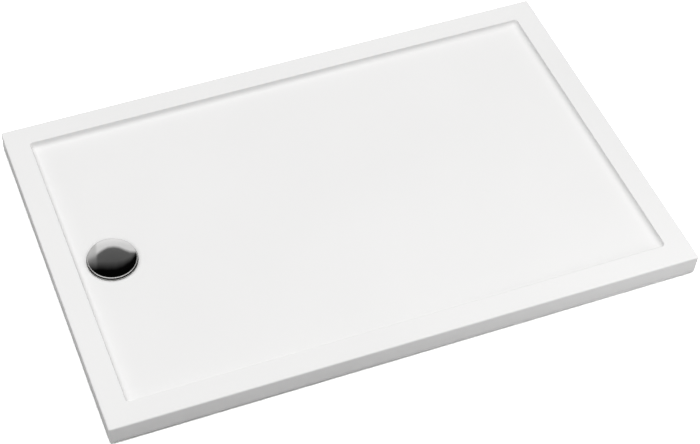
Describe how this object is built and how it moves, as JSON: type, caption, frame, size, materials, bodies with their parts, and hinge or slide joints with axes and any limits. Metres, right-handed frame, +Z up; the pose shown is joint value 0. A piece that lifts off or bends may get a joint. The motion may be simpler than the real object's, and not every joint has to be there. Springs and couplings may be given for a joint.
{
  "type": "shower tray",
  "caption": "Low rectangular acrylic shower tray with a shallow recess, an end waste under a chrome dome, and screw-in levelling feet under its base board.",
  "frame": {"origin": "on the floor below the middle of the tray, with the feet as shown", "axes": "+X along the long side away from the drain, +Y across to the back long side, +Z up"},
  "size_m": [1.4, 0.9, 0.059],
  "materials": {
    "acrylic_white": "polished white sanitary acrylic",
    "glass_fibre": "rolled glass-fibre laminate",
    "chipboard": "raw chipboard",
    "trap_plastic": "moulded white polypropylene",
    "grey_plastic": "moulded dark grey",
    "black_rubber": "matt",
    "silicone": "milky silicone",
    "stainless": "brushed stainless steel",
    "chrome": "polished chrome plate",
    "zinc": "bright zinc plate",
    "black_nylon": "moulded black nylon"
  },
  "bodies": {
    "tray": {"tray_shell": "acrylic_white", "glassfibre_backing": "glass_fibre", "base_board": "chipboard", "waste_body": "trap_plastic", "lower_seal": "black_rubber", "upper_seal": "black_rubber", "waste_flange": "stainless", "flange_screws": "stainless", "plate_screws": "zinc", "lock_nuts": "zinc", "foot_plate_front_left": "zinc", "foot_plate_front_middle": "zinc", "foot_plate_front_right": "zinc", "foot_plate_centre_middle": "zinc", "foot_plate_centre_right": "zinc", "foot_plate_back_left": "zinc", "foot_plate_back_middle": "zinc", "foot_plate_back_right": "zinc"},
    "odour_insert": {"odour_insert": "grey_plastic", "insert_o_ring": "black_rubber", "duckbill_membrane": "silicone"},
    "hair_strainer": {"hair_strainer": "stainless"},
    "drain_cover": {"drain_cover": "chrome", "cover_carrier": "grey_plastic"},
    "foot_front_left": {"foot_pad_front_left": "black_nylon", "foot_sole_front_left": "black_rubber"},
    "stud_front_left": {"foot_stud_front_left": "zinc"},
    "foot_front_middle": {"foot_pad_front_middle": "black_nylon", "foot_sole_front_middle": "black_rubber"},
    "stud_front_middle": {"foot_stud_front_middle": "zinc"},
    "foot_front_right": {"foot_pad_front_right": "black_nylon", "foot_sole_front_right": "black_rubber"},
    "stud_front_right": {"foot_stud_front_right": "zinc"},
    "foot_centre_middle": {"foot_pad_centre_middle": "black_nylon", "foot_sole_centre_middle": "black_rubber"},
    "stud_centre_middle": {"foot_stud_centre_middle": "zinc"},
    "foot_centre_right": {"foot_pad_centre_right": "black_nylon", "foot_sole_centre_right": "black_rubber"},
    "stud_centre_right": {"foot_stud_centre_right": "zinc"},
    "foot_back_left": {"foot_pad_back_left": "black_nylon", "foot_sole_back_left": "black_rubber"},
    "stud_back_left": {"foot_stud_back_left": "zinc"},
    "foot_back_middle": {"foot_pad_back_middle": "black_nylon", "foot_sole_back_middle": "black_rubber"},
    "stud_back_middle": {"foot_stud_back_middle": "zinc"},
    "foot_back_right": {"foot_pad_back_right": "black_nylon", "foot_sole_back_right": "black_rubber"},
    "stud_back_right": {"foot_stud_back_right": "zinc"}
  },
  "joints": [
    {"name": "insert_lift", "type": "slide", "parent": "tray", "child": "odour_insert", "axis": [0, 0, 1], "range_m": [0, 0.08]},
    {"name": "strainer_lift", "type": "slide", "parent": "odour_insert", "child": "hair_strainer", "axis": [0, 0, 1], "range_m": [0, 0.04]},
    {"name": "cover_lift", "type": "slide", "parent": "hair_strainer", "child": "drain_cover", "axis": [0, 0, 1], "range_m": [0, 0.05]},
    {"name": "level_front_left", "type": "slide", "parent": "tray", "child": "foot_front_left", "axis": [0, 0, -1], "range_m": [-0.00375, 0.0075]},
    {"name": "screw_front_left", "type": "hinge", "parent": "foot_front_left", "child": "stud_front_left", "pos_m": [-0.57, -0.32, 0.01], "axis": [0, 0, -1], "range_deg": [-900.5, 1800.5]},
    {"name": "level_front_middle", "type": "slide", "parent": "tray", "child": "foot_front_middle", "axis": [0, 0, -1], "range_m": [-0.00375, 0.0075]},
    {"name": "screw_front_middle", "type": "hinge", "parent": "foot_front_middle", "child": "stud_front_middle", "pos_m": [0, -0.32, 0.01], "axis": [0, 0, -1], "range_deg": [-900.5, 1800.5]},
    {"name": "level_front_right", "type": "slide", "parent": "tray", "child": "foot_front_right", "axis": [0, 0, -1], "range_m": [-0.00375, 0.0075]},
    {"name": "screw_front_right", "type": "hinge", "parent": "foot_front_right", "child": "stud_front_right", "pos_m": [0.57, -0.32, 0.01], "axis": [0, 0, -1], "range_deg": [-900.5, 1800.5]},
    {"name": "level_centre_middle", "type": "slide", "parent": "tray", "child": "foot_centre_middle", "axis": [0, 0, -1], "range_m": [-0.00375, 0.0075]},
    {"name": "screw_centre_middle", "type": "hinge", "parent": "foot_centre_middle", "child": "stud_centre_middle", "pos_m": [0, 0, 0.01], "axis": [0, 0, -1], "range_deg": [-900.5, 1800.5]},
    {"name": "level_centre_right", "type": "slide", "parent": "tray", "child": "foot_centre_right", "axis": [0, 0, -1], "range_m": [-0.00375, 0.0075]},
    {"name": "screw_centre_right", "type": "hinge", "parent": "foot_centre_right", "child": "stud_centre_right", "pos_m": [0.57, 0, 0.01], "axis": [0, 0, -1], "range_deg": [-900.5, 1800.5]},
    {"name": "level_back_left", "type": "slide", "parent": "tray", "child": "foot_back_left", "axis": [0, 0, -1], "range_m": [-0.00375, 0.0075]},
    {"name": "screw_back_left", "type": "hinge", "parent": "foot_back_left", "child": "stud_back_left", "pos_m": [-0.57, 0.32, 0.01], "axis": [0, 0, -1], "range_deg": [-900.5, 1800.5]},
    {"name": "level_back_middle", "type": "slide", "parent": "tray", "child": "foot_back_middle", "axis": [0, 0, -1], "range_m": [-0.00375, 0.0075]},
    {"name": "screw_back_middle", "type": "hinge", "parent": "foot_back_middle", "child": "stud_back_middle", "pos_m": [0, 0.32, 0.01], "axis": [0, 0, -1], "range_deg": [-900.5, 1800.5]},
    {"name": "level_back_right", "type": "slide", "parent": "tray", "child": "foot_back_right", "axis": [0, 0, -1], "range_m": [-0.00375, 0.0075]},
    {"name": "screw_back_right", "type": "hinge", "parent": "foot_back_right", "child": "stud_back_right", "pos_m": [0.57, 0.32, 0.01], "axis": [0, 0, -1], "range_deg": [-900.5, 1800.5]}
  ],
  "couplings": [
    {"joint": "screw_front_left", "follows": "level_front_left", "rad_per_m": 4188.8},
    {"joint": "screw_front_middle", "follows": "level_front_middle", "rad_per_m": 4188.8},
    {"joint": "screw_front_right", "follows": "level_front_right", "rad_per_m": 4188.8},
    {"joint": "screw_centre_middle", "follows": "level_centre_middle", "rad_per_m": 4188.8},
    {"joint": "screw_centre_right", "follows": "level_centre_right", "rad_per_m": 4188.8},
    {"joint": "screw_back_left", "follows": "level_back_left", "rad_per_m": 4188.8},
    {"joint": "screw_back_middle", "follows": "level_back_middle", "rad_per_m": 4188.8},
    {"joint": "screw_back_right", "follows": "level_back_right", "rad_per_m": 4188.8}
  ]
}
